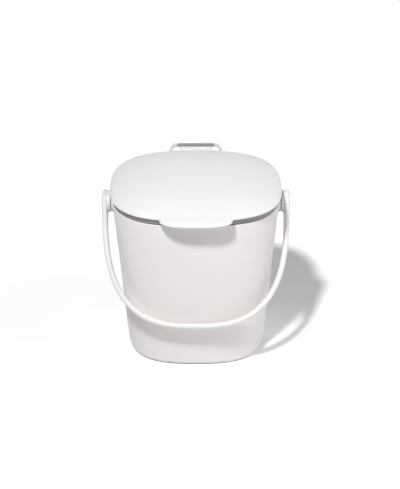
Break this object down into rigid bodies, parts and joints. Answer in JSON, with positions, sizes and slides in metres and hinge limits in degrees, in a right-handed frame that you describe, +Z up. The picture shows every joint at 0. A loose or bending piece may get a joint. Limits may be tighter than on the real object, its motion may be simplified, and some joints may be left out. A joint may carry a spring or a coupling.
{
  "type": "compost caddy with hinged lid",
  "caption": "Countertop compost caddy: tapered rounded-square bin, domed flip-up lid with a front finger tab and soft seal band, and a swinging bail handle.",
  "frame": {"origin": "centre of the bin's base, on the surface it stands on", "axes": "+Z up, -Y towards the finger tab at the front, +X to the right of someone facing the front"},
  "size_m": [0.2308, 0.2179, 0.2361],
  "materials": {
    "bin_plastic": "smooth satin moulded plastic, white",
    "lid_plastic": "smooth satin moulded plastic, white",
    "handle_plastic": "smooth satin moulded plastic, warm white",
    "soft_grey": "matt soft-touch elastomer, light grey",
    "pin_steel": "plain drawn wire"
  },
  "bodies": {
    "bin": {"bin_body": "bin_plastic", "hinge_pin": "pin_steel", "stop_pad": "soft_grey"},
    "lid": {"lid_shell": "lid_plastic", "lid_liner": "lid_plastic", "lid_seal": "soft_grey"},
    "handle": {"bail_handle": "handle_plastic"}
  },
  "joints": [
    {"name": "lid_hinge", "type": "hinge", "parent": "bin", "child": "lid", "pos_m": [0, 0.10225, 0.216], "axis": [-1, 0, 0], "range_deg": [0, 105]},
    {"name": "bail_swing", "type": "hinge", "parent": "bin", "child": "handle", "pos_m": [0, 0, 0.1955], "axis": [-1, 0, 0], "range_deg": [0, 288]}
  ]
}
